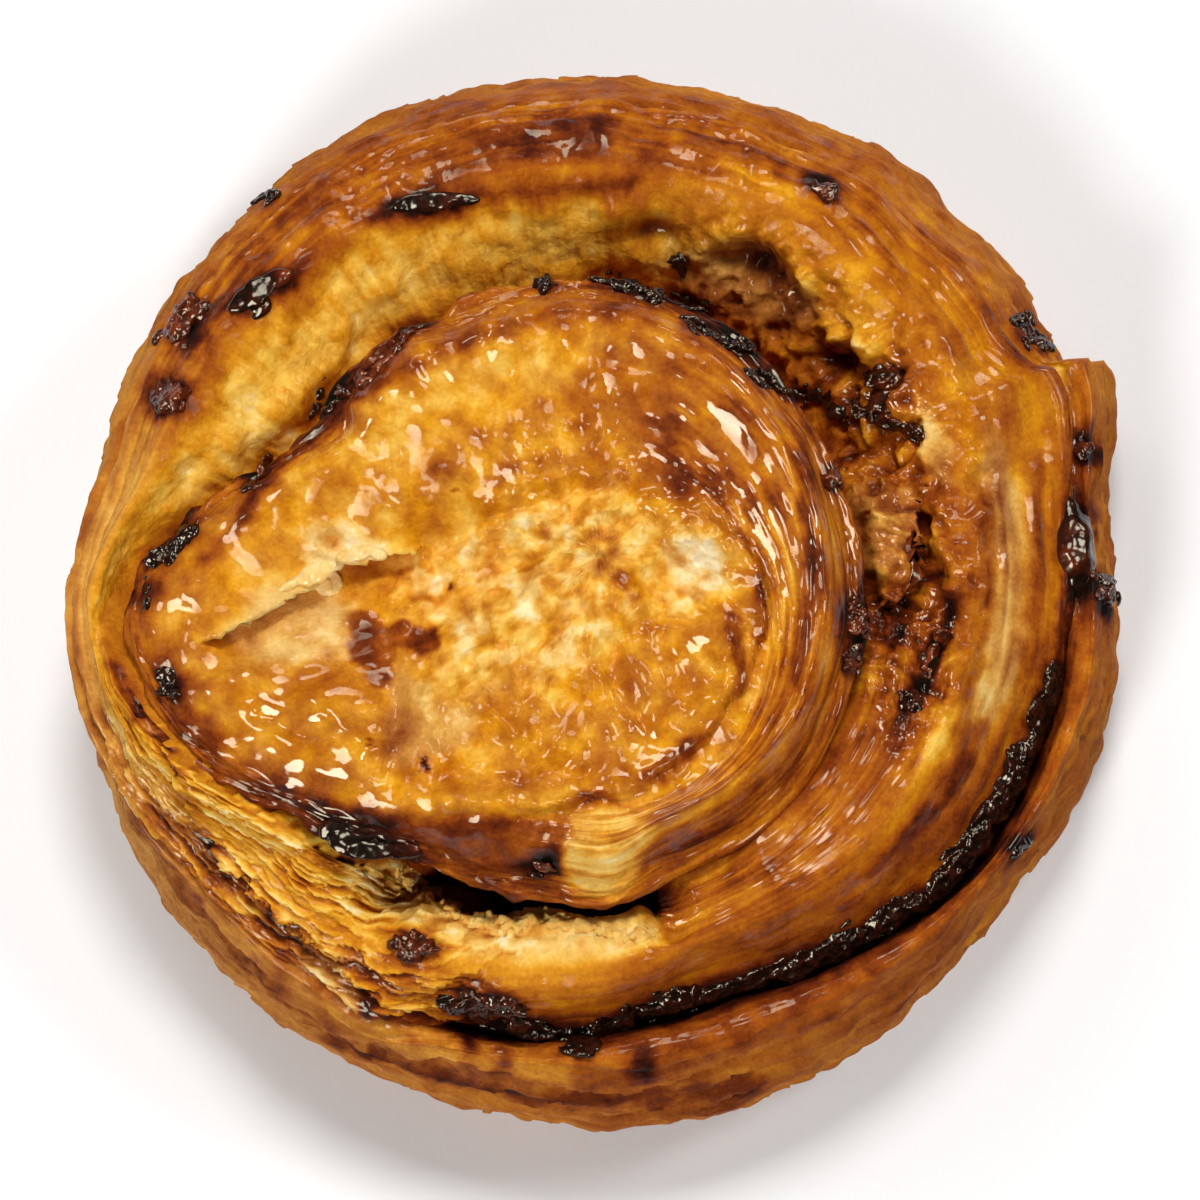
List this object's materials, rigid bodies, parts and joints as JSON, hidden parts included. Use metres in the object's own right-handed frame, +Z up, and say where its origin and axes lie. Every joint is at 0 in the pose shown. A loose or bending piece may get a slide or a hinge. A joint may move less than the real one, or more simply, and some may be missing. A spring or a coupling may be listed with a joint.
{
  "type": "danish pastry",
  "caption": "Round rolled danish swirl of laminated dough with a raised teardrop boss, an open groove and slit, and dark caramelised filling along its seams.",
  "frame": {"origin": "middle of the bounding box, at the flat base that the pastry rests on", "axes": "+Z up; +X towards the loose tail of the roll at the right, -Y towards the front with the open slit"},
  "size_m": [0.1056, 0.1046, 0.036],
  "materials": {
    "dough": "egg-washed, glossy, baked golden to dark brown",
    "filling": "burnt caramel, rough with glossy patches"
  },
  "bodies": {
    "root": {"dough": "dough", "filling": "filling"}
  },
  "joints": []
}
